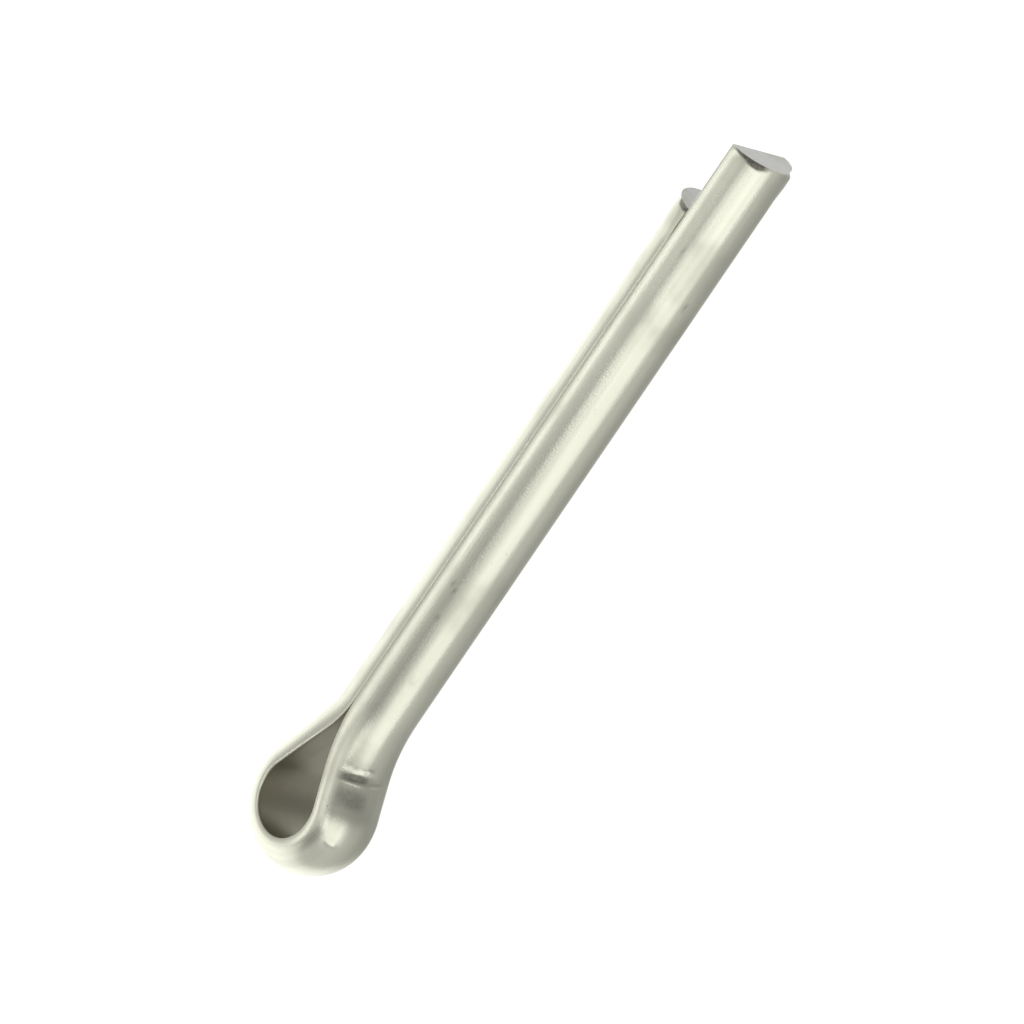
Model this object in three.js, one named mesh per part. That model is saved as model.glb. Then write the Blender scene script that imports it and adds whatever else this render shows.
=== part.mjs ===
// A split cotter pin: one length of half-round steel wire, folded flat to flat
// and opened into an eye at the fold, with one leg a little longer than the other.
//
// It lies on its side, as it comes to rest: the plane that the wire is bent in is
// horizontal. +X runs along the pin towards the tips, +Z is up, and the long leg is
// on the -Y side. Millimetres.

import * as THREE from 'three';

// --- Wire: half of a round, with its flat side inwards ---
const FLAT_HALF_WIDTH = 1.72;    // half the width of the flat side, corners included
const LEG_THICKNESS = 1.78;      // from the flat to the top of the round back
const CORNER_RADIUS = 0.1;       // between the flat and the back
const LEG_GAP = 0.09;            // between the two flats along the closed legs

// --- Eye: the wire is drawn thinner and pressed wider where it is bent ---
const EYE_INNER_RADIUS = 1.805;
const EYE_SETBACK = 5.545;       // of the eye's centre, from where the legs' reach is counted
const EYE_OFFSET = 0.045;        // of the eye's centre, towards the long leg
const EYE_WIDENING = 1.06;       // the wire's width in the eye, as a share of a leg's
const EYE_THINNING = 0.78;       // its thickness there, as a share of a leg's

// --- Legs: each runs straight from its tip, bends out in a neck, and meets the eye ---
const LONG_LEG = { side: -1, reach: 31.84, neckRadius: 7.8, neckAngle: 26.6 };
const SHORT_LEG = { side: 1, reach: 28.34, neckRadius: 5.15, neckAngle: 22.5 };

// --- Fineness of the faceted solid ---
const BACK_FACETS = 14;
const CORNER_FACETS = 2;
const LEG_STEPS = 5;
const NECK_STEPS = 7;
const SHOULDER_STEPS = 3;
const EYE_STEPS = 30;

const QUARTER_TURN = Math.PI / 2;
const FULL_TURN = 2 * Math.PI;

// The wire in section, seen along it: x is the height over the flat, y the place across it.
function sectionOutline() {
  const cornerMiddle = FLAT_HALF_WIDTH - CORNER_RADIUS;
  const corner = (middle, start, end) => new THREE.EllipseCurve(
    CORNER_RADIUS, middle, CORNER_RADIUS, CORNER_RADIUS, start, end, true,
  ).getPoints(CORNER_FACETS);
  const back = new THREE.EllipseCurve(
    CORNER_RADIUS, 0, LEG_THICKNESS - CORNER_RADIUS, FLAT_HALF_WIDTH,
    QUARTER_TURN, -QUARTER_TURN, true,
  ).getPoints(BACK_FACETS);
  return [
    ...corner(cornerMiddle, Math.PI, QUARTER_TURN).slice(0, -1),
    ...back,
    ...corner(-cornerMiddle, -QUARTER_TURN, -Math.PI).slice(1),
  ];
}

// One leg's line along its flat, in the plane of the bend, from the tip to the eye:
// the straight leg, the neck arc, and the straight shoulder that touches the eye's circle.
function legLine({ side, reach, neckRadius, neckAngle }) {
  const turn = THREE.MathUtils.degToRad(neckAngle);
  const flatY = LEG_GAP / 2;
  const eyeY = -side * EYE_OFFSET + EYE_INNER_RADIUS * Math.cos(turn);
  const neckEndY = flatY + neckRadius * (1 - Math.cos(turn));
  const shoulderLength = (eyeY - neckEndY) / Math.sin(turn);
  const eyeX = EYE_INNER_RADIUS * Math.sin(turn) - EYE_SETBACK;
  const neckEndX = eyeX + shoulderLength * Math.cos(turn);
  const neckStartX = neckEndX + neckRadius * Math.sin(turn);

  const neckShare = neckRadius * turn / (neckRadius * turn + shoulderLength);
  const tip = new THREE.Vector2(reach, side * flatY);
  const neckStart = new THREE.Vector2(neckStartX, side * flatY);
  const neckEnd = new THREE.Vector2(neckEndX, side * neckEndY);
  const eyeStart = new THREE.Vector2(eyeX, side * eyeY);
  const neck = new THREE.EllipseCurve(
    neckStartX, side * (flatY + neckRadius), neckRadius, neckRadius,
    -side * QUARTER_TURN, -side * (QUARTER_TURN + turn), side > 0,
  );
  return [
    { curve: new THREE.LineCurve(tip, neckStart), steps: LEG_STEPS, swell: [0, 0] },
    { curve: neck, steps: NECK_STEPS, swell: [0, neckShare] },
    { curve: new THREE.LineCurve(neckEnd, eyeStart), steps: SHOULDER_STEPS, swell: [neckShare, 1] },
  ];
}

// The eye's arc, from the long leg's shoulder round the back to the short leg's.
function eyeArc() {
  const longTurn = THREE.MathUtils.degToRad(LONG_LEG.neckAngle);
  const shortTurn = THREE.MathUtils.degToRad(SHORT_LEG.neckAngle);
  const curve = new THREE.EllipseCurve(
    -EYE_SETBACK, -EYE_OFFSET, EYE_INNER_RADIUS, EYE_INNER_RADIUS,
    longTurn - QUARTER_TURN, QUARTER_TURN - shortTurn - FULL_TURN, true,
  );
  return { curve, steps: EYE_STEPS, swell: [1, 1] };
}

// Places along a stretch of the wire: the point on the flat, the way out from the flat,
// and how far the section has gone over from a leg's to the eye's.
function stationsAlong({ curve, steps, swell }, backwards = false) {
  const stations = [];
  for (let step = 0; step <= steps; step += 1) {
    const along = backwards ? 1 - step / steps : step / steps;
    const point = curve.getPoint(along);
    const tangent = curve.getTangent(along).multiplyScalar(backwards ? -1 : 1);
    const share = THREE.MathUtils.lerp(swell[0], swell[1], along);
    stations.push({
      point,
      outward: new THREE.Vector2(-tangent.y, tangent.x),
      swell: THREE.MathUtils.smoothstep(share, 0, 1),
    });
  }
  return stations;
}

// All the wire's stations, tip to tip, each joint between two stretches counted once.
function wireStations() {
  const stretches = [
    ...legLine(LONG_LEG).map((stretch) => stationsAlong(stretch)),
    stationsAlong(eyeArc()),
    ...legLine(SHORT_LEG).reverse().map((stretch) => stationsAlong(stretch, true)),
  ];
  return stretches.flatMap((stations, index) => (index === 0 ? stations : stations.slice(1)));
}

// The section swept along the stations, closed by a flat cut face at each tip.
function sweptWire(stations, outline) {
  const positions = [];
  const triangles = [];
  const around = outline.length;

  for (const { point, outward, swell } of stations) {
    const widening = THREE.MathUtils.lerp(1, EYE_WIDENING, swell);
    const thinning = THREE.MathUtils.lerp(1, EYE_THINNING, swell);
    for (const { x: height, y: across } of outline) {
      const offset = outward.clone().multiplyScalar(height * thinning);
      positions.push(point.x + offset.x, point.y + offset.y, across * widening);
    }
  }

  for (let ring = 0; ring < stations.length - 1; ring += 1) {
    for (let side = 0; side < around; side += 1) {
      const next = (side + 1) % around;
      const here = ring * around;
      const there = here + around;
      triangles.push(here + side, there + next, here + next);
      triangles.push(here + side, there + side, there + next);
    }
  }

  const cutFace = (ring, reversed) => {
    const { point, outward } = stations[ring];
    const middle = outward.clone().multiplyScalar(LEG_THICKNESS / 2).add(point);
    const centre = positions.length / 3;
    positions.push(middle.x, middle.y, 0);
    for (let side = 0; side < around; side += 1) {
      const first = ring * around + side;
      const second = ring * around + (side + 1) % around;
      triangles.push(centre, ...(reversed ? [second, first] : [first, second]));
    }
  };
  cutFace(0, false);
  cutFace(stations.length - 1, true);

  const geometry = new THREE.BufferGeometry();
  geometry.setAttribute('position', new THREE.Float32BufferAttribute(positions, 3));
  geometry.setIndex(triangles);
  return geometry;
}

// The origin is under the middle of the pin, on the surface it lies on.
function standOnOrigin(geometry) {
  geometry.computeBoundingBox();
  const { min, max } = geometry.boundingBox;
  geometry.translate(-(min.x + max.x) / 2, -(min.y + max.y) / 2, -min.z);
  geometry.computeVertexNormals();
  return geometry;
}

const drawnSteel = new THREE.MeshStandardMaterial({
  color: 0xc4c4b4, roughness: 0.32, metalness: 1,
});

const wire = new THREE.Mesh(standOnOrigin(sweptWire(wireStations(), sectionOutline())), drawnSteel);
wire.name = 'cotter_pin';

const cotterPin = new THREE.Group();
cotterPin.add(wire);

export default cotterPin;
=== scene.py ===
"""A split cotter pin, bent from one length of half-round steel wire.

The wire is drawn out straight first, with the section of a leg, and then bent: a long leg,
a neck and shoulder, the eye, and back along a shorter leg, flat against flat. In the eye the
section is thinner and wider, with rounder corners. The bending tool's crease, small burrs
and the flare of the sheared ends are pressed into the wire's back, and one corner of the
long tip is worn round.
"""

import math

import bmesh
import bpy
from mathutils import Matrix, Vector


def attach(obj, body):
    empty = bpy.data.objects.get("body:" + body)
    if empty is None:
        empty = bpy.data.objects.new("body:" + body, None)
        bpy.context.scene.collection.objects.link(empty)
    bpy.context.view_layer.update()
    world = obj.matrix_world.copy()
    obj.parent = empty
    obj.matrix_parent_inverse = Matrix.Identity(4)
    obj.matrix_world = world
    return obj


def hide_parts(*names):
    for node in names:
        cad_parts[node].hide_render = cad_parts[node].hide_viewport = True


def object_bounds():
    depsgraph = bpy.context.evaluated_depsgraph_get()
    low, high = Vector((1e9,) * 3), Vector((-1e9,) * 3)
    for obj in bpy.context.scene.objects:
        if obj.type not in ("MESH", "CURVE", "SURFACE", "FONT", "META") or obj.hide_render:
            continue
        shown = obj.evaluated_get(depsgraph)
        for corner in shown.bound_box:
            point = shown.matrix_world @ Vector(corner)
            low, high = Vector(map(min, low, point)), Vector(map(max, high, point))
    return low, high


bl_info = {
    "name": "Cotter Pin",
    "version": (1, 0, 0),
    "blender": (4, 5, 0),
    "location": "View3D > Sidebar > Cotter Pin",
    "description": "Makes a split cotter pin from bent half-round wire, and a stage for it",
    "category": "Add Mesh",
}

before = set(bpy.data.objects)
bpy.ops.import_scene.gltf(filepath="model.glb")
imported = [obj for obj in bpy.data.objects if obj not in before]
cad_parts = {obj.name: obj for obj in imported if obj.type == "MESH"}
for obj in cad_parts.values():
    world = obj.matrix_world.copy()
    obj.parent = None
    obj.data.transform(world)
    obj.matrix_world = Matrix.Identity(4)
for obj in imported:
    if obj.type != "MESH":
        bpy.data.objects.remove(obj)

NODE = "cotter_pin"
CAD_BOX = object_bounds()
MM = 0.001
DEG = math.pi / 180

# From the box's middle to the plane between the two flats, towards the short leg
SIDE_SHIFT = 0.0417 * MM


# ------------------------------------------------- sizes, finish and stage


def length_setting(name, description, millimetres):
    """A length in metres, with its default given in millimetres."""
    return bpy.props.FloatProperty(
        name=name,
        description=description,
        default=millimetres * MM,
        min=0.0,
        precision=5,
        unit="LENGTH",
    )


def share_setting(name, description, default):
    """A share of something, from 0 to 1."""
    return bpy.props.FloatProperty(
        name=name,
        description=description,
        default=default,
        min=0.0,
        max=1.0,
        subtype="FACTOR",
    )


def number_setting(name, description, default):
    """A plain number that is never negative."""
    return bpy.props.FloatProperty(
        name=name, description=description, default=default, min=0.0
    )


def colour_setting(name, description, default):
    """A colour, in linear light."""
    return bpy.props.FloatVectorProperty(
        name=name,
        description=description,
        default=default,
        min=0.0,
        max=1.0,
        size=3,
        subtype="COLOR",
    )


def angle_setting(name, description, degrees):
    """An angle, with its default given in degrees."""
    return bpy.props.FloatProperty(
        name=name, description=description, default=degrees * DEG, subtype="ANGLE"
    )


class CotterPinSizes(bpy.types.PropertyGroup):
    """The wire's section, its bends and its sheared ends."""

    half_width: length_setting("Half width", "Half the width of the wire's flat side", 1.72)
    thickness: length_setting("Thickness", "From the wire's flat side to the top of its back", 1.815)
    corner: length_setting("Corner", "Radius between the flat and the back along the legs", 0.055)
    gap: length_setting("Gap", "Between the flats of the two closed legs", 0.008)

    eye_radius: length_setting("Eye radius", "Inside radius of the eye", 1.805)
    eye_setback: length_setting("Eye setback", "Eye's centre behind the zero of the legs' reach", 5.545)
    eye_offset: length_setting("Eye offset", "Eye's centre towards the long leg", 0.045)
    eye_corner: length_setting("Eye corner", "Radius of the corners in the eye", 0.09)
    eye_widening: number_setting("Eye widening", "Wire's width in the eye over a leg's", 1.06)
    eye_thinning: number_setting("Eye thinning", "Wire's thickness in the eye over a leg's", 0.78)

    long_reach: length_setting("Long reach", "Tip of the long leg", 31.84)
    long_neck_radius: length_setting("Long neck radius", "Bend from the long leg to the eye", 7.8)
    long_neck_turn: angle_setting("Long neck turn", "How far the long leg's neck turns", 26.6)
    short_reach: length_setting("Short reach", "Tip of the short leg", 28.16)
    short_neck_radius: length_setting("Short neck radius", "Bend from the short leg to the eye", 5.15)
    short_neck_turn: angle_setting("Short neck turn", "How far the short leg's neck turns", 22.5)

    burr: length_setting("Burr", "How far the sheared ends flare out", 0.05)
    burr_reach: length_setting("Burr reach", "How far back from an end its flare fades", 0.14)
    shear_slant: length_setting("Shear slant", "How much shorter the flat side is cut", 0.14)


class CotterPinFinish(bpy.types.PropertyGroup):
    """The colours and the gloss of the steel."""

    steel: colour_setting("Steel", "The drawn wire's colour", (0.80, 0.805, 0.675))
    tarnish: colour_setting("Tarnish", "The wire's colour where it is duller", (0.62, 0.62, 0.51))
    # The colour below is painted shade: it darkens the flat side, most inside the eye, where the hole
    # lies in shade
    inside: colour_setting("Inside", "The flat side's colour, which holds dirt", (0.40, 0.385, 0.30))
    # The colour below paints real specks, and also a painted shadow under the sheared edges, painted
    # shade in the crease and a painted dark reflection on the shoulder
    stain_and_shade: colour_setting("Stain", "Colour of the stained patches", (0.16, 0.15, 0.13))
    cut: colour_setting("Cut", "The sheared ends' colour", (0.66, 0.665, 0.65))
    roughness: share_setting("Roughness", "How dull the drawn surface is", 0.27)


class CotterPinStage(bpy.types.PropertyGroup):
    """The floor, the light from the room, and the camera's view."""

    floor: colour_setting("Floor", "The floor's colour", (0.5, 0.5, 0.5))
    floor_glow: number_setting("Floor glow", "Light that comes up through the floor", 0.87)
    surround: colour_setting("Surround", "Tint of the light from all round", (1.0, 1.0, 1.0))
    room_light: number_setting("Room light", "Brightness all round the pin", 0.58)
    low_light: number_setting("Low light", "Brightness from straight below", 0.38)
    upper_light: number_setting("Upper light", "Brightness from half way up", 0.24)
    overhead_light: number_setting("Overhead light", "Brightness from straight above", 0.62)
    wall_light: number_setting("Wall light", "What the wall behind the pin adds", 0.68)
    dark_light: number_setting("Dark light", "Brightness from the camera's side, by the tips", 0.31)
    camera_aside: angle_setting("Camera aside", "From square to the legs, towards the tips", 19.5)
    camera_down: angle_setting("Camera down", "From straight above, towards the long leg", 43.0)
    camera_roll: angle_setting("Camera roll", "Slope of the legs in the picture", 55.77)
    picture_width: length_setting("Picture width", "What the picture takes in at the pin", 45.67)
    picture_right: length_setting("Picture right", "Picture's middle, right of the reach's zero", 5.862)
    picture_up: length_setting("Picture up", "Picture's middle, up from the reach's zero", 8.73)


# ------------------------------------------------------------- bending plan


class Stretch:
    """A straight or evenly curved stretch of the wire, followed along its flat side.

    It starts at a point with a heading, both in the plane of the bend, and turns left by
    turn over its length. swell is the share by which the section has gone over from a leg's
    to the eye's, at its start and at its end. step is about how far apart its vertices are.
    """

    def __init__(self, start, heading, length, turn, swell, step):
        self.start = start
        self.heading = heading
        self.length = length
        self.turn = turn
        self.swell = swell
        self.steps = max(1, round(length / step))

    def at(self, along):
        """The point on the flat, the way out from the flat, and the swell, at a distance."""
        heading = self.heading + self.turn * along / self.length
        ahead = Vector((math.cos(self.heading), math.sin(self.heading)))
        outward = Vector((-math.sin(heading), math.cos(heading)))
        if self.turn:
            radius = self.length / self.turn
            first_outward = Vector((-ahead.y, ahead.x))
            point = self.start + (first_outward - outward) * radius
        else:
            point = self.start + ahead * along
        low, high = self.swell
        return point, outward, smooth(low + (high - low) * along / self.length)


def smooth(value):
    """A value from 0 to 1, eased at both ends."""
    value = min(1.0, max(0.0, value))
    return value * value * (3 - 2 * value)


def leg_plan(sizes, eye_offset, reach, neck_radius, neck_turn):
    """The lengths of a leg's straight run, neck and shoulder."""
    neck_rise = neck_radius * (1 - math.cos(neck_turn))
    eye_rise = eye_offset + sizes.eye_radius * math.cos(neck_turn)
    shoulder = (eye_rise - sizes.gap / 2 - neck_rise) / math.sin(neck_turn)
    bend_depth = (sizes.eye_radius + neck_radius) * math.sin(neck_turn)
    neck_start = bend_depth + shoulder * math.cos(neck_turn) - sizes.eye_setback
    return reach - neck_start, neck_radius * neck_turn, shoulder


def bending_plan(sizes, zero):
    """The wire's stretches, from the long tip round the eye to the short tip.

    zero is the point between the flats that the legs' reach is counted from.
    """
    long_run, long_neck, long_shoulder = leg_plan(
        sizes,
        sizes.eye_offset,
        sizes.long_reach,
        sizes.long_neck_radius,
        sizes.long_neck_turn,
    )
    short_run, short_neck, short_shoulder = leg_plan(
        sizes,
        -sizes.eye_offset,
        sizes.short_reach,
        sizes.short_neck_radius,
        sizes.short_neck_turn,
    )
    eye_turn = math.pi + sizes.long_neck_turn + sizes.short_neck_turn
    long_share = long_neck / (long_neck + long_shoulder)
    short_share = short_neck / (short_neck + short_shoulder)
    eye = sizes.eye_radius * eye_turn
    moves = [
        (TIP_LENGTH, 0, (0, 0), TIP_STEP),
        (long_run - TIP_LENGTH, 0, (0, 0), LEG_STEP),
        (long_neck, sizes.long_neck_turn, (0, long_share), NECK_STEP),
        (long_shoulder, 0, (long_share, 1), EYE_STEP),
        (eye, -eye_turn, (1, 1), EYE_STEP),
        (short_shoulder, 0, (1, short_share), EYE_STEP),
        (short_neck, sizes.short_neck_turn, (short_share, 0), NECK_STEP),
        (short_run - TIP_LENGTH, 0, (0, 0), LEG_STEP),
        (TIP_LENGTH, 0, (0, 0), TIP_STEP),
    ]
    start = zero + Vector((sizes.long_reach, -sizes.gap / 2))
    heading = math.pi
    plan = []
    for line_length, line_turn, swell, step in moves:
        stretch = Stretch(start, heading, line_length, line_turn, swell, step)
        plan.append(stretch)
        start = stretch.at(line_length)[0]
        heading += line_turn
    return plan


# -------------------------------------------------------- drawing the wire

# Spacing of the mesh along the wire, closest where it is bent or cut
TIP_LENGTH = 0.9 * MM
TIP_STEP = 0.045 * MM
LEG_STEP = 0.25 * MM
NECK_STEP = 0.1 * MM
EYE_STEP = 0.045 * MM

# Number of mesh steps round each part of the section
BACK_STEPS = 72
CORNER_STEPS = 7
FLAT_STEPS = 14

# Points of the section closer than this are one point
SAME_POINT = 0.0005 * MM

# What each vertex keeps: its place in the eye's section, its place along the straight
# wire, and how much stain or painted shade it has
SECTION_LAYER = "eye_section"
STRAIGHT_LAYER = "straight"
STAIN_AND_SHADE_LAYER = "stain_and_shade"


def section_arc(bm, centre, radii, start, steps, swing):
    """An arc of the section, in the plane x = 0, spun from one vertex."""
    known = set(bm.verts)
    first = bmesh.ops.create_vert(bm, co=(0, math.cos(start), math.sin(start)))["vert"]
    bmesh.ops.spin(
        bm, geom=first, cent=(0, 0, 0), axis=(1, 0, 0), angle=swing, steps=steps
    )
    made = [vert for vert in bm.verts if vert not in known]
    bmesh.ops.scale(bm, verts=made, vec=(1, *radii))
    bmesh.ops.translate(bm, verts=made, vec=(0, *centre))


def half_round_face(half_width, thickness, corner):
    """The wire's section as a face: y runs across the flat and z is the height over it."""
    bm = bmesh.new()
    quarter = math.pi / 2
    inner = half_width - corner
    section_arc(bm, (0, corner), (half_width, thickness - corner), 0, BACK_STEPS, math.pi)
    section_arc(bm, (inner, corner), (corner, corner), -quarter, CORNER_STEPS, quarter)
    section_arc(bm, (-inner, corner), (corner, corner), math.pi, CORNER_STEPS, quarter)
    bmesh.ops.remove_doubles(bm, verts=bm.verts, dist=SAME_POINT)
    ends = [vert for vert in bm.verts if len(vert.link_edges) == 1]
    flat = bm.edges.new(ends)
    bmesh.ops.subdivide_edges(bm, edges=[flat], cuts=FLAT_STEPS - 1)
    bmesh.ops.contextual_create(bm, geom=bm.edges[:])
    return bm


def drawn_wire(sizes, plan):
    """A straight wire along X with a leg's section. Each vertex also keeps the eye's section."""
    leg = half_round_face(sizes.half_width, sizes.thickness, sizes.corner)
    eye = half_round_face(
        sizes.half_width * sizes.eye_widening,
        sizes.thickness * sizes.eye_thinning,
        sizes.eye_corner,
    )
    eye_section = leg.verts.layers.float_vector.new(SECTION_LAYER)
    for leg_vert, eye_vert in zip(leg.verts, eye.verts):
        leg_vert[eye_section] = eye_vert.co
    eye.free()

    face = leg.faces[:][0]
    crossings = []
    for stretch in plan:
        crossings.append(face)
        made = bmesh.ops.extrude_face_region(leg, geom=[face])["geom"]
        face = next(part for part in made if isinstance(part, bmesh.types.BMFace))
        bmesh.ops.translate(leg, verts=face.verts[:], vec=(stretch.length, 0, 0))
        rim = set(face.edges)
        rails = [edge for vert in face.verts for edge in vert.link_edges if edge not in rim]
        bmesh.ops.subdivide_edges(leg, edges=rails, cuts=stretch.steps - 1, use_grid_fill=True)

    # The first crossing is the long tip's end, and the others are hidden inside the wire
    bmesh.ops.delete(leg, geom=crossings[1:], context="FACES_ONLY")
    return leg


# --------------------------------------------------------- marks and bends


class Mark:
    """A small patch of the wire's back that is dented, raised, stained or darkened with painted shade.

    along is its middle's distance from the long tip in millimetres, or from the short tip
    if negative, and angle its turn about the wire in degrees, from 0 at the upper corner to
    180 at the lower one. reach and width are its half sizes along and about the wire. depth
    is how far it stands out in millimetres, or lies in if negative; for a stain or painted
    shade it is a share of the darkest. slant shifts it along the wire towards the lower
    corner, and a crisp mark has steeper edges.
    """

    def __init__(self, along, angle, reach, width, depth, slant, crisp):
        self.along = along * MM
        self.angle = angle * DEG
        self.reach = reach * MM
        self.width = width * DEG
        self.depth = depth
        self.slant = slant * MM
        self.crisp = crisp

    def at(self, along, angle, wire_length):
        """The mark's depth at a place on the wire."""
        if self.along < 0:
            along -= wire_length
        across = (angle - self.angle) / self.width
        if abs(across) >= 1:
            return 0.0
        lengthwise = (along - self.along - self.slant * across) / self.reach
        if abs(lengthwise) >= 1:
            return 0.0
        fade = (1 - lengthwise**2) * (1 - across**2)
        return self.depth * smooth(fade * self.crisp)


# Each mark's along, angle, reach, width, depth, slant and crispness
DENTS = [
    # The bending tool's crease across the long shoulder, and the lip on its eye side
    Mark(35.16, 62, 0.42, 38, -0.036, 0.03, 1.0),
    Mark(35.47, 57, 0.09, 26, 0.018, 0.05, 1.0),
    Mark(35.38, 100, 0.12, 28, 0.016, -0.10, 1.0),
    # Ragged burrs on the crease's leg side
    Mark(34.90, 56, 0.09, 7, 0.022, 0.02, 1.2),
    Mark(34.84, 67, 0.08, 6, 0.018, -0.02, 1.2),
    Mark(34.78, 79, 0.10, 7, 0.024, 0.03, 1.2),
    # A burr on the side of the eye, and a fine one on the long leg
    Mark(37.84, 60, 0.08, 11, 0.035, 0.02, 1.5),
    Mark(29.18, 61, 0.25, 5, 0.025, 0.02, 1.5),
    # The long tip's lower corner worn round, and a bulge behind it where the shear pinched
    Mark(0.0, 147, 0.45, 56, -0.16, 0.0, 1.0),
    Mark(0.8, 155, 0.8, 40, 0.05, 0.0, 1.0),
    # The bulge behind the short tip
    Mark(-0.9, 20, 1.0, 40, 0.05, 0.0, 1.0),
]

# Marks that darken the wire's colour: real specks, and painted shade, a painted shadow and a painted
# dark reflection
STAINS_AND_SHADE = [
    # Painted shadow under the sheared edges' burrs
    Mark(0.06, 38, 0.20, 36, 1.0, 0.10, 1.6),
    Mark(0.18, 48, 0.24, 17, 1.0, 0.06, 1.3),
    Mark(-0.10, 12, 0.26, 18, 0.9, 0.0, 1.4),
    # Painted shade in the crease, and a painted dark reflection on the shoulder from there to the eye
    Mark(35.24, 58, 0.22, 26, 0.7, 0.02, 1.4),
    Mark(36.20, 60, 0.62, 34, 0.55, 0.1, 1.0),
    # Specks along the long leg
    Mark(7.75, 84, 0.20, 4, 0.5, 0.0, 1.0),
    Mark(5.50, 33, 0.20, 4, 0.4, 0.0, 1.0),
    Mark(24.50, 28, 0.20, 4, 0.4, 0.0, 1.0),
    Mark(24.75, 36, 0.20, 4, 0.5, 0.0, 1.0),
    Mark(26.25, 37, 0.20, 5, 0.4, 0.0, 1.0),
]


# Height over the flat at which the ends' flare is full
BURR_RISE = 0.5 * MM


def pressed_section(sizes, wire_length, along, angle, section):
    """A section point after the ends are flared and the dents are pressed in."""
    from_end = min(along, wire_length - along)
    flare = math.exp(-from_end / sizes.burr_reach) * smooth(section.y / BURR_RISE)
    dent = sum(mark.at(along, angle, wire_length) for mark in DENTS) * MM
    return section * (1 + (dent + sizes.burr * flare) / sizes.half_width)


def sheared_back(sizes, wire_length, along, height):
    """How far along a point lies, once the shear has cut the ends' flat side shorter."""
    from_end = min(along, wire_length - along)
    if from_end > TIP_LENGTH:
        return along
    low = 1 - height / sizes.thickness
    back = sizes.shear_slant * low * (1 - from_end / TIP_LENGTH)
    return along + back if along < wire_length / 2 else along - back


# Allowance for rounding where one stretch of the wire meets the next
ROUNDING = 1e-9


def bend(bm, sizes, plan, mid_height):
    """Moves each vertex of the straight wire to its place on the bent one."""
    eye_section = bm.verts.layers.float_vector[SECTION_LAYER]
    straight = bm.verts.layers.float_vector.new(STRAIGHT_LAYER)
    stain_and_shade = bm.verts.layers.float.new(STAIN_AND_SHADE_LAYER)
    wire_length = sum(stretch.length for stretch in plan)
    starts = [0.0]
    for stretch in plan[:-1]:
        starts.append(starts[-1] + stretch.length)
    for vert in bm.verts:
        place = vert.co.x
        angle = math.atan2(vert.co.z, vert.co.y)
        along = sheared_back(sizes, wire_length, place, vert.co.z)
        index = max(i for i, start in enumerate(starts) if start <= along + ROUNDING)
        point, outward, swell = plan[index].at(along - starts[index])
        section = vert.co.yz.lerp(vert[eye_section].yz, swell)
        section = pressed_section(sizes, wire_length, place, angle, section)
        vert[stain_and_shade] = min(1.0, sum(mark.at(place, angle, wire_length) for mark in STAINS_AND_SHADE))
        vert[straight] = vert.co
        flat_point = point + outward * section.y
        vert.co = (flat_point.x, flat_point.y, mid_height + section.x)


def zero_point(sizes):
    """The point that the legs' reach is counted from, between the flats and half way up."""
    low, high = CAD_BOX
    middle = (low + high) / 2
    return Vector((high.x - sizes.long_reach, middle.y + SIDE_SHIFT, middle.z))


def cotter_pin_mesh(sizes):
    """The bent wire's mesh, with the sheared ends on the second material."""
    zero = zero_point(sizes)
    plan = bending_plan(sizes, zero.xy)
    bm = drawn_wire(sizes, plan)
    bend(bm, sizes, plan, zero.z)
    for face in bm.faces:
        sheared_end = len(face.verts) > 4
        face.smooth = not sheared_end
        face.material_index = int(sheared_end)
        if sheared_end:
            for edge in face.edges:
                edge.smooth = False
    bmesh.ops.recalc_face_normals(bm, faces=bm.faces)
    bm.verts.layers.float_vector.remove(bm.verts.layers.float_vector[SECTION_LAYER])
    mesh = bpy.data.meshes.new("cotter_pin_wire")
    bm.to_mesh(mesh)
    bm.free()
    return mesh


# --------------------------------------------------------------- materials


class NodeGroupMaker:
    """A shader node group being put together, with its named inputs and outputs."""

    def __init__(self, name, inputs, outputs):
        self.tree = bpy.data.node_groups.new(name, "ShaderNodeTree")
        for label, kind, default in inputs:
            socket = self.tree.interface.new_socket(label, in_out="INPUT", socket_type=kind)
            if default is not None:
                socket.default_value = default
        for label, kind in outputs:
            self.tree.interface.new_socket(label, in_out="OUTPUT", socket_type=kind)
        self.entry = self.tree.nodes.new("NodeGroupInput").outputs
        self.exit = self.tree.nodes.new("NodeGroupOutput").inputs


def add_node(tree, kind, settings=None, **values):
    """A node of a kind. Values are set on its sockets, or linked where they are sockets."""
    node = tree.nodes.new(kind)
    for name, setting in (settings or {}).items():
        setattr(node, name, setting)
    for name, value in values.items():
        feed(tree, node.inputs[name.replace("_", " ")], value)
    return node


def feed(tree, socket, value):
    """Links a socket, or sets its value."""
    if isinstance(value, bpy.types.NodeSocket):
        tree.links.new(value, socket)
    else:
        socket.default_value = value


def math_node(tree, operation, *values):
    """A math node's result."""
    node = add_node(tree, "ShaderNodeMath", {"operation": operation})
    for socket, value in zip(node.inputs, values):
        feed(tree, socket, value)
    return node.outputs[0]


def ramp(tree, value, low, high, to_low=0.0, to_high=1.0):
    """A value taken smoothly from one range to another, and held at its ends."""
    node = add_node(
        tree,
        "ShaderNodeMapRange",
        {"interpolation_type": "SMOOTHSTEP"},
        Value=value,
        From_Min=low,
        From_Max=high,
        To_Min=to_low,
        To_Max=to_high,
    )
    return node.outputs["Result"]


def mix_colours(tree, share_of_second, first, second):
    """A colour between two, each of them fixed or linked."""
    mix = add_node(tree, "ShaderNodeMix", {"data_type": "RGBA"}, Factor=share_of_second)
    for identifier, tint in (("A_Color", first), ("B_Color", second)):
        socket = next(one for one in mix.inputs if one.identifier == identifier)
        feed(tree, socket, tint if isinstance(tint, bpy.types.NodeSocket) else (*tint, 1))
    return next(one for one in mix.outputs if one.identifier == "Result_Color")


# Streaks among the draw lines: their noise's scale over the lines', and its range
STREAK_SCALE = 0.22
STREAK_RANGE = (0.35, 0.65)


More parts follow.
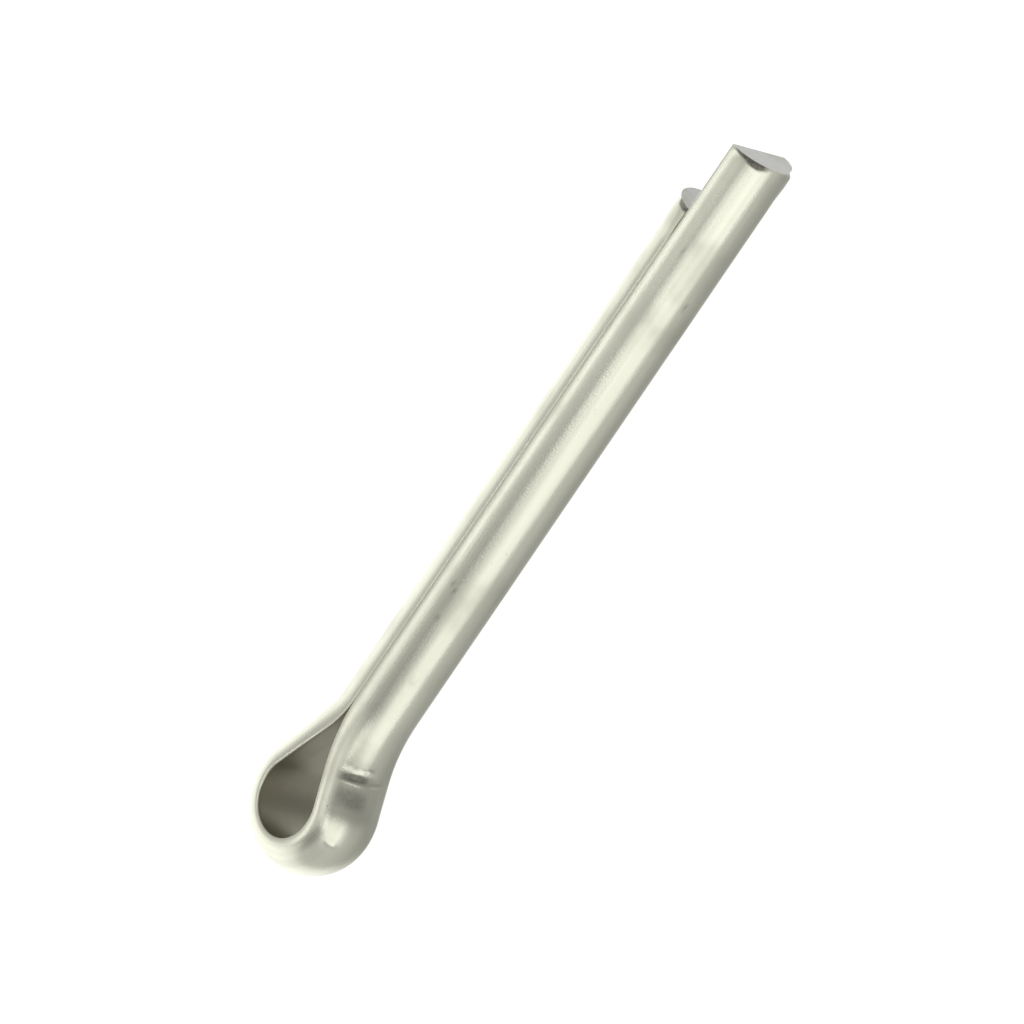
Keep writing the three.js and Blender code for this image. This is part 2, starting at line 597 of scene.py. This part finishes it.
def draw_lines_group():
    """Lines left by the drawing die: long, thin and parallel to the wire."""
    group = NodeGroupMaker(
        "Draw lines",
        [
            ("Vector", "NodeSocketVector", None),
            ("Spacing", "NodeSocketFloat", 0.1),
            ("Length", "NodeSocketFloat", 4.0),
        ],
        [("Height", "NodeSocketFloat"), ("Streaks", "NodeSocketFloat")],
    )
    tree = group.tree
    across = math_node(tree, "DIVIDE", 1 / MM, group.entry["Spacing"])
    along = math_node(tree, "DIVIDE", 1 / MM, group.entry["Length"])
    scale = add_node(tree, "ShaderNodeCombineXYZ", X=along, Y=across, Z=across)
    stretched = add_node(tree, "ShaderNodeVectorMath", {"operation": "MULTIPLY"})
    feed(tree, stretched.inputs[0], group.entry["Vector"])
    feed(tree, stretched.inputs[1], scale.outputs[0])
    lines = add_node(
        tree, "ShaderNodeTexNoise", Vector=stretched.outputs[0], Scale=1.0, Detail=3.0
    )
    streaks = add_node(
        tree,
        "ShaderNodeTexNoise",
        Vector=stretched.outputs[0],
        Scale=STREAK_SCALE,
        Detail=1.0,
    )
    tree.links.new(lines.outputs["Fac"], group.exit["Height"])
    tree.links.new(ramp(tree, streaks.outputs["Fac"], *STREAK_RANGE), group.exit["Streaks"])


# Pits come in drifts. The scales of the drifts and the grain are over the pits' own
DRIFT_SCALE = 0.2
DRIFT_RANGE = (0.55, 0.8)
GRAIN_SCALE = 2.5
PIT_EDGE = 0.1


def fine_pits_group():
    """Small scattered pits, with a soft grain between them."""
    group = NodeGroupMaker(
        "Fine pits",
        [
            ("Vector", "NodeSocketVector", None),
            ("Spacing", "NodeSocketFloat", 0.25),
            ("Pit size", "NodeSocketFloat", 0.2),
        ],
        [("Height", "NodeSocketFloat"), ("Pits", "NodeSocketFloat")],
    )
    tree = group.tree
    scale = math_node(tree, "DIVIDE", 1 / MM, group.entry["Spacing"])
    vector = group.entry["Vector"]
    cells = add_node(tree, "ShaderNodeTexVoronoi", Vector=vector, Scale=scale)
    drift = add_node(
        tree,
        "ShaderNodeTexNoise",
        Vector=vector,
        Scale=math_node(tree, "MULTIPLY", scale, DRIFT_SCALE),
        Detail=2.0,
    )
    thick = ramp(tree, drift.outputs["Fac"], *DRIFT_RANGE)
    size = math_node(tree, "MULTIPLY", group.entry["Pit size"], thick)
    inside = math_node(tree, "SUBTRACT", size, cells.outputs["Distance"])
    pits = ramp(tree, inside, 0.0, PIT_EDGE)
    grain = add_node(
        tree,
        "ShaderNodeTexNoise",
        Vector=vector,
        Scale=math_node(tree, "MULTIPLY", scale, GRAIN_SCALE),
        Detail=2.0,
    )
    height = math_node(tree, "SUBTRACT", grain.outputs["Fac"], pits)
    tree.links.new(height, group.exit["Height"])
    tree.links.new(pits, group.exit["Pits"])


# Duller metal lies in blotches and along the draw lines' streaks
BLOTCH_SCALE = 0.35 / MM
BLOTCH_RANGE = (0.45, 0.75)
BLOTCH_DULLNESS = 0.45
STREAK_DULLNESS = 0.3
DULL_ROUGHENING = 0.12


def steel_material(name, colours, roughness, lines, pits, line_bump, pit_bump, extras=()):
    """Bare metal in two colours, the second where it is dull, with draw lines and pits.

    The bumps are in millimetres. Each extra is a mask, the colour that it brings in and
    how much rougher the metal is there.
    """
    material = bpy.data.materials.new(name)
    material.use_nodes = True
    tree = material.node_tree
    shader = tree.nodes["Principled BSDF"]
    shader.inputs["Metallic"].default_value = 1.0
    straight = add_node(
        tree, "ShaderNodeAttribute", {"attribute_name": STRAIGHT_LAYER}
    ).outputs["Vector"]

    lined = tree.nodes.new("ShaderNodeGroup")
    lined.node_tree = bpy.data.node_groups["Draw lines"]
    pitted = tree.nodes.new("ShaderNodeGroup")
    pitted.node_tree = bpy.data.node_groups["Fine pits"]
    for node, values in ((lined, lines), (pitted, pits)):
        feed(tree, node.inputs["Vector"], straight)
        for label, value in values.items():
            node.inputs[label].default_value = value

    noise = add_node(
        tree, "ShaderNodeTexNoise", Vector=straight, Scale=BLOTCH_SCALE, Detail=3.0
    )
    blotches = ramp(tree, noise.outputs["Fac"], *BLOTCH_RANGE, 0.0, BLOTCH_DULLNESS)
    streaks = math_node(tree, "MULTIPLY", lined.outputs["Streaks"], STREAK_DULLNESS)
    dull = math_node(tree, "ADD", blotches, streaks)
    dull = math_node(tree, "MAXIMUM", dull, pitted.outputs["Pits"])
    tint = mix_colours(tree, dull, *colours)
    rough = ramp(tree, dull, 0.0, 1.0, roughness, roughness + DULL_ROUGHENING)
    for mask, extra_colour, extra_rough in extras:
        share_here = mask(tree, straight)
        tint = mix_colours(tree, share_here, tint, extra_colour)
        rough = math_node(tree, "ADD", rough, math_node(tree, "MULTIPLY", share_here, extra_rough))
    tree.links.new(tint, shader.inputs["Base Color"])
    tree.links.new(rough, shader.inputs["Roughness"])

    first = add_node(
        tree,
        "ShaderNodeBump",
        Strength=1.0,
        Distance=line_bump * MM,
        Height=lined.outputs["Height"],
    )
    second = add_node(
        tree,
        "ShaderNodeBump",
        Strength=1.0,
        Distance=pit_bump * MM,
        Height=pitted.outputs["Height"],
        Normal=first.outputs["Normal"],
    )
    tree.links.new(second.outputs["Normal"], shader.inputs["Normal"])
    return material


# Where along the wire the painted shade inside the eye is darkest, and how far that fades
EYE_START = 34 * MM
EYE_END = 47 * MM
EYE_FADE = 2.5 * MM

# Heights over the flat at which its painted shade starts and is full, and the shade's share on the legs
FLAT_RANGE = (0.02 * MM, 0.005 * MM)
LEG_SHARE = 0.4


def painted_flat_side_shade(tree, straight):
    """A mask of painted shade on the wire's flat side, darkest inside the eye."""
    parts = add_node(tree, "ShaderNodeSeparateXYZ", Vector=straight).outputs
    flat = ramp(tree, parts["Z"], *FLAT_RANGE)
    after = ramp(tree, parts["X"], EYE_START - EYE_FADE, EYE_START)
    before = ramp(tree, parts["X"], EYE_END + EYE_FADE, EYE_END)
    eye = math_node(tree, "MULTIPLY", after, before)
    return math_node(tree, "MULTIPLY", flat, ramp(tree, eye, 0.0, 1.0, LEG_SHARE, 1.0))


# The grain that breaks up the stains and painted shade, its noise's range, and how much of them it
# leaves
STAIN_AND_SHADE_GRAIN_SCALE = 6 / MM
STAIN_AND_SHADE_GRAIN_RANGE = (0.3, 0.7)
STAIN_AND_SHADE_LEFT = (0.85, 1.1)


def stain_and_shade_mask(tree, straight):
    """A mask of the stains and the painted shade, a little uneven."""
    stain_and_shade = add_node(tree, "ShaderNodeAttribute", {"attribute_name": STAIN_AND_SHADE_LAYER}).outputs["Fac"]
    grain = add_node(
        tree, "ShaderNodeTexNoise", Vector=straight, Scale=STAIN_AND_SHADE_GRAIN_SCALE, Detail=3.0
    )
    ragged = ramp(tree, grain.outputs["Fac"], *STAIN_AND_SHADE_GRAIN_RANGE, *STAIN_AND_SHADE_LEFT)
    return math_node(tree, "MINIMUM", math_node(tree, "MULTIPLY", stain_and_shade, ragged), 1.0)


def drawn_steel(finish):
    """Satin drawn steel, lined along the wire."""
    return steel_material(
        "drawn steel",
        colours=(finish.steel, finish.tarnish),
        roughness=finish.roughness,
        lines={"Spacing": 0.09, "Length": 5.0},
        pits={"Spacing": 0.24, "Pit size": 0.3},
        line_bump=0.0025,
        pit_bump=0.004,
        # The extras paint shade on the flat side, most inside the eye, and the stains and painted shade
        # of the marks
        extras=((painted_flat_side_shade, finish.inside, 0.15), (stain_and_shade_mask, finish.stain_and_shade, 0.1)),
    )


def cut_steel(finish):
    """Sheared steel, duller and grainier."""
    return steel_material(
        "cut steel",
        colours=(finish.cut, finish.tarnish),
        roughness=0.5,
        lines={"Spacing": 0.05, "Length": 0.05},
        pits={"Spacing": 0.15, "Pit size": 0.35},
        line_bump=0.004,
        pit_bump=0.01,
    )


# ------------------------------------------------------------------- stage


# Long enough that the view has next to no perspective, in millimetres
LENS = 1000

FLOOR_HALF_WIDTH = 1.5

# Each one's name, direction from the pin, distance and size in metres, and watts
SOFTBOXES = [
    ("front", (-0.19, -0.95, 0.2), 0.15, (0.095, 0.13), 0.029),
    ("upper front", (-0.16, -0.64, 0.75), 0.12, (0.035, 0.055), 0.0065),
    ("top", (-0.03, -0.17, 0.98), 0.12, (0.05, 0.07), 0.0035),
    ("high back", (-0.3, 0.4, 0.87), 0.25, (0.2, 0.08), 0.055),
]


def camera_axes(stage):
    """The picture's right, up and towards-the-camera directions."""
    aside, down, roll = stage.camera_aside, stage.camera_down, stage.camera_roll
    over = math.pi / 2 - down
    legs = Vector(
        (math.cos(aside), math.sin(aside) * math.cos(over), -math.sin(aside) * math.sin(over))
    )
    across = Vector((0, -math.sin(over), -math.cos(over)))
    right = across * math.sin(roll) + legs * math.cos(roll)
    up = legs * math.sin(roll) - across * math.cos(roll)
    return right, up, right.cross(up)


def add_camera(stage, middle):
    """A long lens, aimed at the middle of the picture."""
    right, up, back = camera_axes(stage)
    data = bpy.data.cameras.new("camera")
    data.lens = LENS
    distance = stage.picture_width * data.lens / data.sensor_width
    camera = bpy.data.objects.new("camera", data)
    bpy.context.scene.collection.objects.link(camera)
    turned = Matrix((right, up, back)).transposed().to_4x4()
    camera.matrix_world = Matrix.Translation(middle + back * distance) @ turned
    bpy.context.scene.camera = camera


def add_softbox(middle, name, toward, distance, size, power):
    """An area light that faces the pin."""
    data = bpy.data.lights.new(name, "AREA")
    data.shape = "RECTANGLE"
    data.size, data.size_y = size
    data.energy = power
    light = bpy.data.objects.new(name, data)
    toward = Vector(toward).normalized()
    light.location = middle + toward * distance
    light.rotation_mode = "QUATERNION"
    light.rotation_quaternion = toward.to_track_quat("Z", "Y")
    bpy.context.scene.collection.objects.link(light)


def add_floor(stage, height):
    """A wide, plain, pale floor."""
    bm = bmesh.new()
    bmesh.ops.create_grid(bm, x_segments=1, y_segments=1, size=FLOOR_HALF_WIDTH)
    bmesh.ops.translate(bm, verts=bm.verts, vec=(0, 0, height))
    mesh = bpy.data.meshes.new("floor")
    bm.to_mesh(mesh)
    bm.free()
    floor = bpy.data.objects.new("floor", mesh)
    material = bpy.data.materials.new("pale floor")
    material.use_nodes = True
    shader = material.node_tree.nodes["Principled BSDF"]
    shader.inputs["Base Color"].default_value = (*stage.floor, 1)
    shader.inputs["Roughness"].default_value = 0.9
    shader.inputs["Specular IOR Level"].default_value = 0.0
    shader.inputs["Emission Color"].default_value = (1, 1, 1, 1)
    shader.inputs["Emission Strength"].default_value = stage.floor_glow
    mesh.materials.append(material)
    bpy.context.scene.collection.objects.link(floor)
    floor.visible_glossy = False


# Where the room's light changes, by the upward part of a direction
LOW_RANGE = (-0.5, -1.0)
UPPER_RANGE = (0.35, 0.8)
OVERHEAD_RANGE = (0.86, 0.99)

# The wall's foot and its top, which slopes down towards the tips, by the same measure
WALL_FOOT_RANGE = (-0.95, -0.7)
WALL_TOP_RANGE = (0.22, -0.15)
WALL_TOP_SLOPE = 1.2

# The wall beside the pin and behind it, by the part of a direction towards the short leg,
# and the share of the wall's light that each brings
BESIDE_RANGE = (-0.3, 0.0)
BESIDE_SHARE = 0.75
BEHIND_RANGE = (0.0, 0.3)
BEHIND_SHARE = 0.25

# The dark side, by the parts of a direction towards the tips and towards the short leg
DARK_TIP_RANGE = (0.0, 0.3)
DARK_SIDE_RANGE = (-0.1, -0.4)


def add_world(stage):
    """A room with a pale wall behind the pin, dim above, and dark on the camera's side."""
    world = bpy.data.worlds.new("surround")
    world.use_nodes = True
    tree = world.node_tree
    way = add_node(tree, "ShaderNodeTexCoord").outputs["Generated"]
    parts = add_node(tree, "ShaderNodeSeparateXYZ", Vector=way).outputs
    height = parts["Z"]
    slope = math_node(tree, "MULTIPLY_ADD", parts["X"], WALL_TOP_SLOPE, height)
    top = ramp(tree, slope, *WALL_TOP_RANGE)
    foot = ramp(tree, height, *WALL_FOOT_RANGE)
    beside = ramp(tree, parts["Y"], *BESIDE_RANGE, 0.0, BESIDE_SHARE)
    behind = ramp(tree, parts["Y"], *BEHIND_RANGE, 0.0, BEHIND_SHARE)
    wall_height = math_node(tree, "MULTIPLY", top, foot)
    wall = math_node(tree, "MULTIPLY", wall_height, math_node(tree, "ADD", beside, behind))
    light = stage.room_light
    for part, strength in (
        (ramp(tree, height, *LOW_RANGE), stage.low_light - stage.room_light),
        (ramp(tree, height, *UPPER_RANGE), stage.upper_light - stage.room_light),
        (ramp(tree, height, *OVERHEAD_RANGE), stage.overhead_light - stage.upper_light),
        (wall, stage.wall_light),
    ):
        light = math_node(tree, "ADD", light, math_node(tree, "MULTIPLY", part, strength))
    by_tips = ramp(tree, parts["X"], *DARK_TIP_RANGE)
    by_camera = ramp(tree, parts["Y"], *DARK_SIDE_RANGE)
    dark = math_node(tree, "MULTIPLY", by_tips, by_camera)
    drop = math_node(tree, "MULTIPLY", dark, math_node(tree, "SUBTRACT", light, stage.dark_light))
    light = math_node(tree, "SUBTRACT", light, drop)
    background = tree.nodes["Background"]
    tree.links.new(light, background.inputs["Strength"])
    background.inputs["Color"].default_value = (*stage.surround, 1)
    bpy.context.scene.world = world


# --------------------------------------------------------------- operators


class MakeCotterPinWire(bpy.types.Operator):
    """Make the bent wire of the cotter pin, in place of the plain one"""

    bl_idname = "object.make_cotter_pin_wire"
    bl_label = "Make Bent Wire"

    def execute(self, context):
        scene = context.scene
        mesh = cotter_pin_mesh(scene.cotter_pin_sizes)
        draw_lines_group()
        fine_pits_group()
        mesh.materials.append(drawn_steel(scene.cotter_pin_finish))
        mesh.materials.append(cut_steel(scene.cotter_pin_finish))
        wire = bpy.data.objects.new("cotter_pin_wire", mesh)
        scene.collection.objects.link(wire)
        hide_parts(NODE)
        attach(wire, "root")
        return {"FINISHED"}


class MakeCotterPinStage(bpy.types.Operator):
    """Make the floor, the lights and the camera"""

    bl_idname = "object.make_cotter_pin_stage"
    bl_label = "Make Stage"

    def execute(self, context):
        scene = context.scene
        stage = scene.cotter_pin_stage
        sizes = scene.cotter_pin_sizes
        floor_height = CAD_BOX[0].z
        right, up, _ = camera_axes(stage)
        middle = zero_point(sizes) + right * stage.picture_right + up * stage.picture_up
        scene.view_settings.view_transform = "Standard"
        add_camera(stage, middle)
        add_floor(stage, floor_height)
        add_world(stage)
        for softbox in SOFTBOXES:
            add_softbox(middle, *softbox)
        return {"FINISHED"}


class CotterPinPanel(bpy.types.Panel):
    """The cotter pin's sizes, finish and stage"""

    bl_label = "Cotter Pin"
    bl_idname = "VIEW3D_PT_cotter_pin"
    bl_space_type = "VIEW_3D"
    bl_region_type = "UI"
    bl_category = "Cotter Pin"

    def draw(self, context):
        scene = context.scene
        for operator, settings in (
            (MakeCotterPinWire, (scene.cotter_pin_sizes, scene.cotter_pin_finish)),
            (MakeCotterPinStage, (scene.cotter_pin_stage,)),
        ):
            box = self.layout.box()
            for group in settings:
                for name in group.__annotations__:
                    box.prop(group, name)
            box.operator(operator.bl_idname)


SETTINGS = {
    "cotter_pin_sizes": CotterPinSizes,
    "cotter_pin_finish": CotterPinFinish,
    "cotter_pin_stage": CotterPinStage,
}
CLASSES = (*SETTINGS.values(), MakeCotterPinWire, MakeCotterPinStage, CotterPinPanel)


def register():
    for kind in CLASSES:
        bpy.utils.register_class(kind)
    for name, kind in SETTINGS.items():
        setattr(bpy.types.Scene, name, bpy.props.PointerProperty(type=kind))


def unregister():
    for name in SETTINGS:
        delattr(bpy.types.Scene, name)
    for kind in reversed(CLASSES):
        bpy.utils.unregister_class(kind)


def main():
    register()
    bpy.ops.object.make_cotter_pin_wire()
    bpy.ops.object.make_cotter_pin_stage()


if __name__ == "__main__":
    main()
